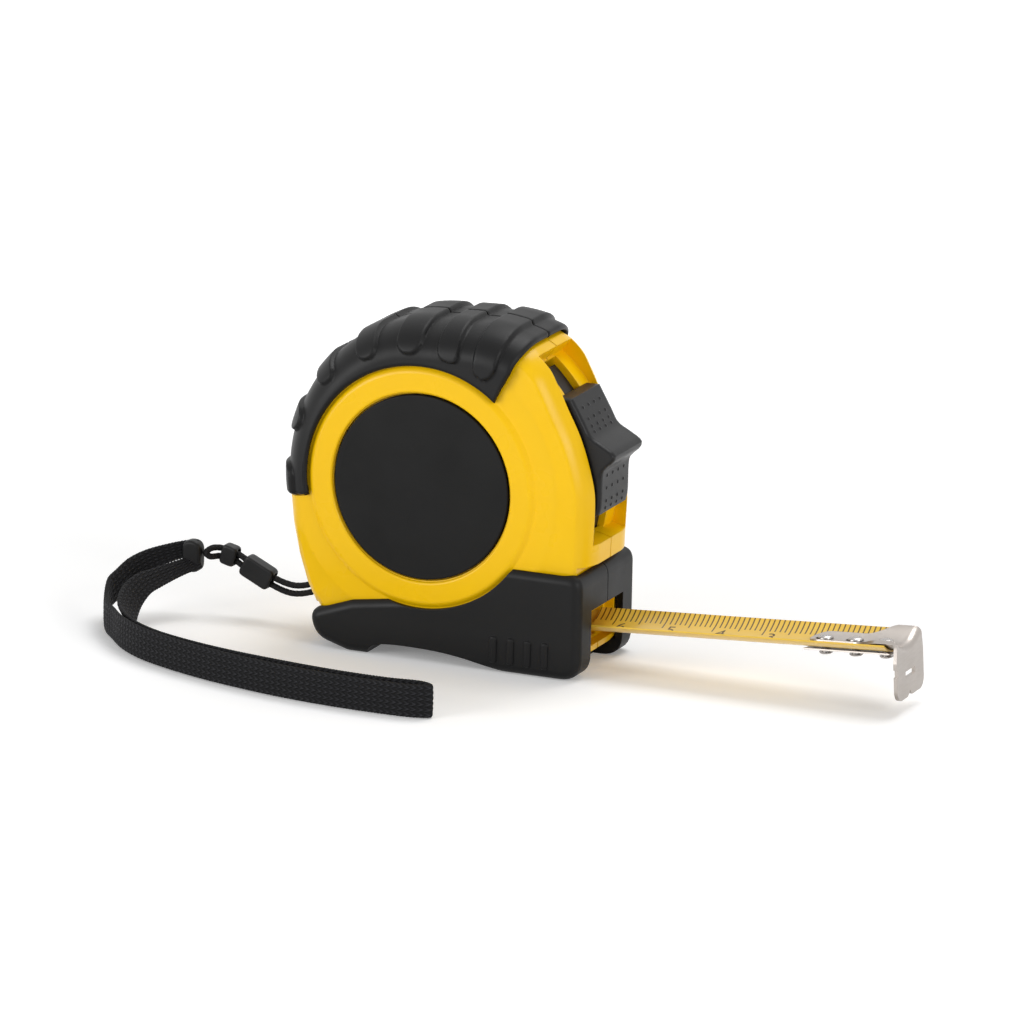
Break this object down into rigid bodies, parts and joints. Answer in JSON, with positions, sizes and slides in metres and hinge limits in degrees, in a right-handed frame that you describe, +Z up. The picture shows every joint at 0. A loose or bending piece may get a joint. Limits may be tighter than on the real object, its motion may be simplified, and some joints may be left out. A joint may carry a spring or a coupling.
{
  "type": "retractable tape measure",
  "caption": "Pocket tape measure: round-backed yellow casing in a ribbed rubber jacket, curved steel blade with a sliding end hook, thumb lock and wrist strap.",
  "frame": {"origin": "on the surface it stands on, at the middle of its footprint without the free strap", "axes": "+X the way the blade runs out, +Y from the open side face to the screwed side face, +Z up"},
  "size_m": [0.1578, 0.0629, 0.0652],
  "materials": {
    "casing_yellow": "smooth moulded plastic, soft gloss",
    "jacket_rubber": "fine-grained soft rubber",
    "disc_black": "plain flat insert, satin",
    "black_plastic": "fine stipple",
    "hook_steel": "plated sheet, satin",
    "fastener_steel": "plated",
    "blade_lacquer": "yellow lacquered spring steel with dark brown printed marks",
    "spool_plastic": "moulded",
    "spring_steel": "blued spring strip",
    "strap_fabric": "flat black braid"
  },
  "bodies": {
    "case": {"casing_near": "casing_yellow", "casing_far": "casing_yellow", "side_disc_near": "disc_black", "side_disc_far": "disc_black", "top_grip_near": "jacket_rubber", "top_grip_far": "jacket_rubber", "base_grip_near": "jacket_rubber", "base_grip_far": "jacket_rubber", "case_screw_1": "fastener_steel", "case_screw_2": "fastener_steel", "case_screw_3": "fastener_steel", "case_screw_4": "fastener_steel", "spool_post": "fastener_steel", "strap_pin": "fastener_steel", "blade_lead": "blade_lacquer", "strap_cord": "strap_fabric", "strap_ferrule": "black_plastic", "strap_clip": "black_plastic", "strap_band": "strap_fabric"},
    "spool": {"spool": "spool_plastic", "spool_cover": "spool_plastic", "wound_blade": "blade_lacquer", "power_spring": "spring_steel"},
    "blade": {"blade": "blade_lacquer", "hook_backing_plate": "hook_steel", "hook_rivet_1": "fastener_steel", "hook_rivet_2": "fastener_steel", "hook_rivet_3": "fastener_steel"},
    "hook": {"end_hook": "hook_steel"},
    "lock": {"lock_button": "black_plastic", "lock_strip": "black_plastic", "lock_stem": "black_plastic", "brake_pad": "jacket_rubber"}
  },
  "joints": [
    {"name": "spool_turn", "type": "hinge", "parent": "case", "child": "spool", "pos_m": [-0.03182, 0, 0.0333], "axis": [0, 1, 0], "range_deg": [0, 144]},
    {"name": "blade_slide", "type": "slide", "parent": "case", "child": "blade", "axis": [0.998, 0, 0.0628], "range_m": [-0.0483, 0]},
    {"name": "hook_float", "type": "slide", "parent": "blade", "child": "hook", "axis": [0.998, 0, 0.0628], "range_m": [0, 0.0008]},
    {"name": "lock_slide", "type": "hinge", "parent": "case", "child": "lock", "pos_m": [-0.03182, 0, 0.0333], "axis": [0, 1, 0], "range_deg": [-13, 0]}
  ],
  "couplings": [
    {"joint": "blade_slide", "follows": "spool_turn", "m_per_rad": -0.0192}
  ]
}
